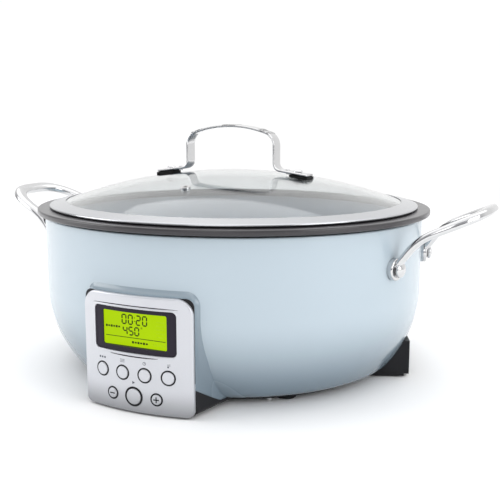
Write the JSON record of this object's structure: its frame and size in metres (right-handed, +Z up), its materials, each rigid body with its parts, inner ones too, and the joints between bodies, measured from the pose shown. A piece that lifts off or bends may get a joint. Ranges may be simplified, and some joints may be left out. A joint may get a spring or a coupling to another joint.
{
  "type": "slow cooker",
  "caption": "Oval electric slow cooker with a lift-out pot, domed glass lid, steel side handles, rear legs and a front control pod with a screen and push buttons.",
  "frame": {"origin": "on the ground under the centre of the whole object's box", "axes": "+Z up, +X along the line of the two side handles, -Y towards the user, out of the control panel"},
  "size_m": [0.502, 0.36, 0.231],
  "materials": {
    "housing_enamel": "gloss",
    "pod_enamel": "gloss",
    "black_plastic": "matte",
    "black_rubber": "matte",
    "pot_coat": "satin",
    "well_metal": "satin",
    "insulation": "fibrous",
    "cast_plate": "cast",
    "element_sheath": "oxidised",
    "plated_steel": "plated",
    "polished_steel": "polished",
    "band_steel": "satin polish",
    "lid_glass": "clear",
    "panel_silver": "silver lacquer",
    "bezel_plastic": "gloss",
    "screen": "backlit liquid crystal",
    "button_silver": "silver lacquer",
    "circuit_board": "solder mask",
    "switch_plastic": "matte",
    "relay_plastic": "moulded",
    "transformer_wrap": "tape",
    "terminal_plastic": "moulded",
    "ribbon": "flat cable",
    "lead_insulation": "silicone",
    "fuse_body": "satin",
    "spring_steel": "drawn"
  },
  "bodies": {
    "base": {"outer_housing": "housing_enamel", "bottom_pan": "black_plastic", "pan_screws": "plated_steel", "rubber_feet": "black_rubber", "rear_leg_right": "black_plastic", "leg_cover_right": "black_plastic", "side_handle_right": "polished_steel", "rear_leg_left": "black_plastic", "leg_cover_left": "black_plastic", "side_handle_left": "polished_steel", "leg_screws": "plated_steel", "cord_gland": "black_rubber", "handle_screws": "polished_steel", "handle_nuts": "plated_steel", "rim_gasket": "black_rubber", "heat_well": "well_metal", "insulation_band": "insulation", "heating_plate": "cast_plate", "heating_element": "element_sheath", "plate_posts": "plated_steel", "thermal_fuse": "fuse_body", "probe_holder": "plated_steel", "probe_spring": "spring_steel", "front_panel": "panel_silver", "panel_reveal": "black_plastic", "pod_fairing": "pod_enamel", "pod_base": "black_plastic", "window_bezel": "bezel_plastic", "lcd_module": "screen", "keypad_frame": "black_plastic", "control_board": "circuit_board", "board_screws": "plated_steel", "tact_switches": "switch_plastic", "power_board": "circuit_board", "board_standoffs": "plated_steel", "relay": "relay_plastic", "transformer": "transformer_wrap", "terminal_block": "terminal_plastic", "ribbon_cable": "ribbon", "mains_leads": "lead_insulation", "heater_leads": "lead_insulation", "sensor_lead": "lead_insulation"},
    "pot": {"inner_pot": "pot_coat"},
    "lid": {"lid_glass": "lid_glass", "lid_band": "band_steel", "lid_seal": "black_rubber", "lid_handle": "polished_steel", "lid_handle_pads": "black_rubber", "lid_handle_screws": "polished_steel", "lid_handle_nuts": "plated_steel", "lid_handle_pins": "polished_steel", "lid_vent_grommet": "polished_steel"},
    "probe": {"temperature_probe": "polished_steel"},
    "key_mode": {"button_mode": "button_silver"},
    "key_menu": {"button_menu": "button_silver"},
    "key_time": {"button_time": "button_silver"},
    "key_temp": {"button_temp": "button_silver"},
    "key_minus": {"button_minus": "button_silver"},
    "key_start": {"button_start": "button_silver"},
    "key_plus": {"button_plus": "button_silver"}
  },
  "joints": [
    {"name": "pot_lift", "type": "slide", "parent": "base", "child": "pot", "axis": [0, 0, 1], "range_m": [0, 0.18]},
    {"name": "lid_lift", "type": "slide", "parent": "pot", "child": "lid", "axis": [0, 0, 1], "range_m": [0, 0.15]},
    {"name": "probe_press", "type": "slide", "parent": "base", "child": "probe", "axis": [0, 0, 1], "range_m": [-0.002, 0], "stiffness_N_per_m": 500, "springref_m": 0.0005, "deforming": ["probe_spring"]},
    {"name": "mode_press", "type": "slide", "parent": "base", "child": "key_mode", "axis": [0.165, 0.9863, 0], "range_m": [0, 0.001], "stiffness_N_per_m": 800, "springref_m": -0.0003},
    {"name": "menu_press", "type": "slide", "parent": "base", "child": "key_menu", "axis": [0.0552, 0.9985, 0], "range_m": [0, 0.001], "stiffness_N_per_m": 800, "springref_m": -0.0003},
    {"name": "time_press", "type": "slide", "parent": "base", "child": "key_time", "axis": [-0.0552, 0.9985, 0], "range_m": [0, 0.001], "stiffness_N_per_m": 800, "springref_m": -0.0003},
    {"name": "temp_press", "type": "slide", "parent": "base", "child": "key_temp", "axis": [-0.165, 0.9863, 0], "range_m": [0, 0.001], "stiffness_N_per_m": 800, "springref_m": -0.0003},
    {"name": "minus_press", "type": "slide", "parent": "base", "child": "key_minus", "axis": [0.1103, 0.9939, 0], "range_m": [0, 0.001], "stiffness_N_per_m": 800, "springref_m": -0.0003},
    {"name": "start_press", "type": "slide", "parent": "base", "child": "key_start", "axis": [0, 1, 0], "range_m": [0, 0.001], "stiffness_N_per_m": 800, "springref_m": -0.0003},
    {"name": "plus_press", "type": "slide", "parent": "base", "child": "key_plus", "axis": [-0.1103, 0.9939, 0], "range_m": [0, 0.001], "stiffness_N_per_m": 800, "springref_m": -0.0003}
  ]
}
